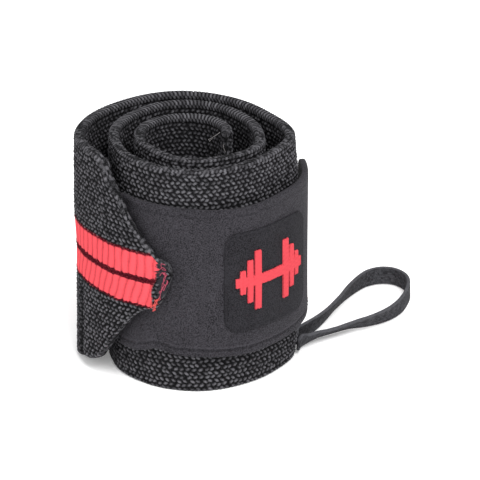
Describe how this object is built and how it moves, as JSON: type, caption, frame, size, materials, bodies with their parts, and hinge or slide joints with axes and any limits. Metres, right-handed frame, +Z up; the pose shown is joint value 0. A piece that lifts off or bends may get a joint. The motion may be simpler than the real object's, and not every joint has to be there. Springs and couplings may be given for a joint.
{
  "type": "wrist wrap",
  "caption": "Woven elastic wrist wrap for lifting, rolled up on its edge, with a pointed end, a smooth closure strap and a flat thumb loop",
  "frame": {"origin": "middle of the whole wrap's box, on the surface that it stands on", "axes": "+Z up along the roll's axis, +X towards the thumb loop's side, the pointed end faces -Y"},
  "size_m": [0.109, 0.095, 0.0762],
  "materials": {
    "band_weave": "coarse woven elastic",
    "strap_fabric": "smooth brushed strap",
    "patch_fabric": "fine woven patch",
    "emblem_red": "raised woven figure",
    "loop_tape": "fine ribbed elastic tape"
  },
  "bodies": {
    "root": {"elastic_band": "band_weave", "closure_strap": "strap_fabric", "strap_patch": "patch_fabric", "patch_emblem": "emblem_red", "thumb_loop": "loop_tape"}
  },
  "joints": []
}
